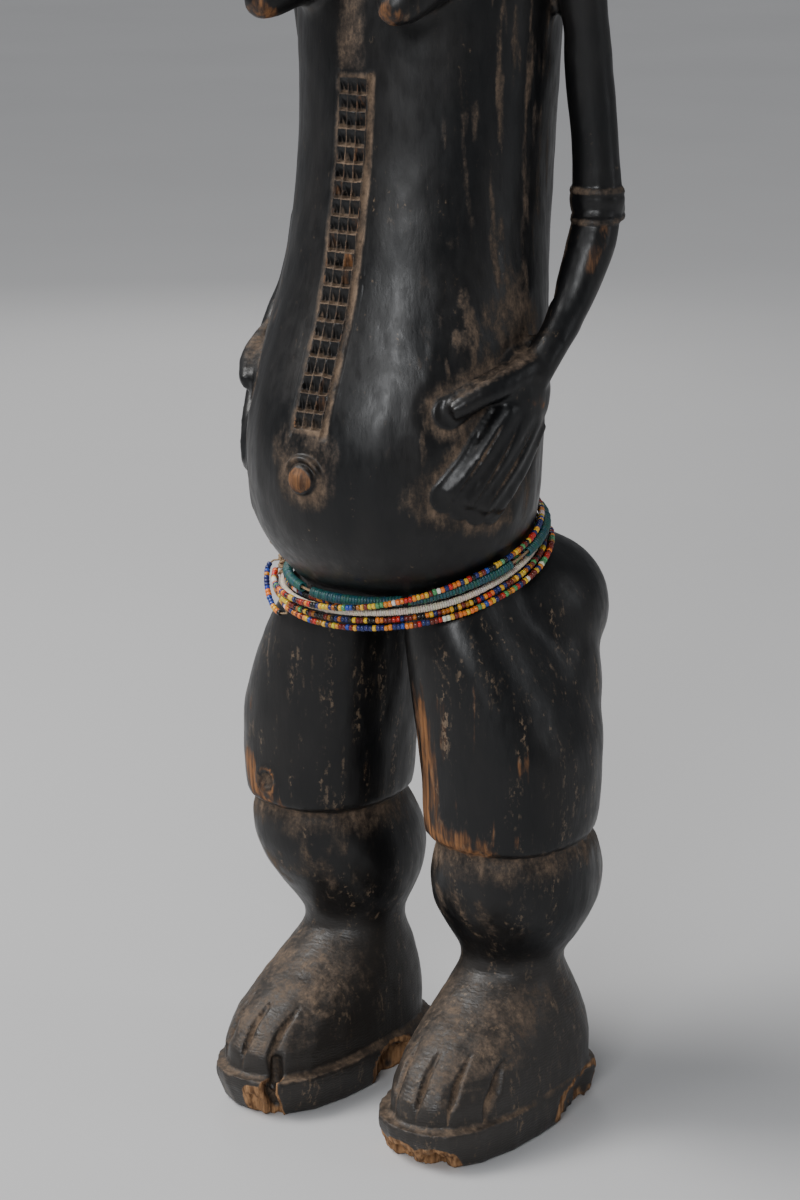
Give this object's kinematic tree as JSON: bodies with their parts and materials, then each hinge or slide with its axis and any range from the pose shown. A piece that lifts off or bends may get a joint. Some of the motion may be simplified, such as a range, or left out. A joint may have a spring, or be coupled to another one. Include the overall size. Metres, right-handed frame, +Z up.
{
  "type": "fertility doll",
  "caption": "Standing carved wooden figure on two foot slabs, wearing a bundle of waist beads that lifts off the hips, with one slack hanging loop.",
  "frame": {"origin": "on the floor, at the centre of the figure's footprint", "axes": "+Z up; the figure faces -Y and its own left side is at +X"},
  "size_m": [0.198, 0.184, 0.8507],
  "materials": {
    "patinated_wood": "satin dark patina, dusty in the recesses and worn brown on the high edges",
    "turquoise_glass": "satin turquoise discs",
    "shell_white": "satin off-white discs",
    "seed_glass": "glossy mixed colours, mostly yellow and orange",
    "thread": "twisted tan cotton"
  },
  "bodies": {
    "figure": {"carved_figure": "patinated_wood", "teal_cord": "thread", "white_disc_thread": "thread", "white_disc_beads": "shell_white", "seed_a_thread": "thread", "seed_a_beads": "seed_glass", "seed_b_thread": "thread", "seed_b_beads": "seed_glass", "seed_c_thread": "thread", "seed_c_beads": "seed_glass", "seed_d_thread": "thread", "seed_d_beads": "seed_glass", "binding_knot": "thread"},
    "turquoise_run_1": {"teal_bead_run_1": "turquoise_glass"},
    "turquoise_run_2": {"teal_bead_run_2": "turquoise_glass"},
    "turquoise_run_3": {"teal_bead_run_3": "turquoise_glass"},
    "turquoise_run_4": {"teal_bead_run_4": "turquoise_glass"},
    "turquoise_run_5": {"teal_bead_run_5": "turquoise_glass"},
    "turquoise_run_6": {"teal_bead_run_6": "turquoise_glass"},
    "turquoise_run_7": {"teal_bead_run_7": "turquoise_glass"},
    "slack_loop": {"slack_thread": "thread", "slack_beads": "seed_glass"},
    "long_tail": {"thread_tail_long": "thread"},
    "short_tail": {"thread_tail_short": "thread"}
  },
  "joints": [
    {"name": "turquoise_run_1_slide", "type": "hinge", "parent": "figure", "child": "turquoise_run_1", "pos_m": [-0.00103, 0.00423, 0.28311], "axis": [0.043, -0.0228, 0.9988], "range_deg": [-4, 4]},
    {"name": "turquoise_run_2_slide", "type": "hinge", "parent": "figure", "child": "turquoise_run_2", "pos_m": [0.00116, 0.0086, 0.29576], "axis": [-0.025, -0.1893, 0.9816], "range_deg": [-4, 3]},
    {"name": "turquoise_run_3_slide", "type": "hinge", "parent": "figure", "child": "turquoise_run_3", "pos_m": [0.00218, 0.00342, 0.30162], "axis": [-0.0126, -0.3021, 0.9532], "range_deg": [-3, 4]},
    {"name": "turquoise_run_4_slide", "type": "hinge", "parent": "figure", "child": "turquoise_run_4", "pos_m": [0.00768, 0.00873, 0.29997], "axis": [-0.0497, -0.2584, 0.9647], "range_deg": [-4, 4]},
    {"name": "turquoise_run_5_slide", "type": "hinge", "parent": "figure", "child": "turquoise_run_5", "pos_m": [0.00061, 0.00186, 0.30274], "axis": [-0.0077, -0.2042, 0.9789], "range_deg": [-4, 4]},
    {"name": "turquoise_run_6_slide", "type": "hinge", "parent": "figure", "child": "turquoise_run_6", "pos_m": [-0.00127, 0.00244, 0.31254], "axis": [-0.0508, -0.0534, 0.9973], "range_deg": [-4, 1]},
    {"name": "turquoise_run_7_slide", "type": "hinge", "parent": "figure", "child": "turquoise_run_7", "pos_m": [0.00187, 0.01705, 0.28669], "axis": [0.2455, -0.363, 0.8989], "range_deg": [-1, 4]},
    {"name": "slack_loop_swing", "type": "hinge", "parent": "figure", "child": "slack_loop", "pos_m": [-0.0448, -0.0404, 0.2638], "axis": [-0.6025, 0.5998, 0.5265], "range_deg": [-5, 60]},
    {"name": "long_tail_swing", "type": "hinge", "parent": "figure", "child": "long_tail", "pos_m": [-0.0665, -0.0171, 0.2858], "axis": [0, 1, 0], "range_deg": [-60, 30]},
    {"name": "short_tail_swing", "type": "hinge", "parent": "figure", "child": "short_tail", "pos_m": [-0.066, -0.0199, 0.2792], "axis": [0, 1, 0], "range_deg": [-20, 30]}
  ]
}
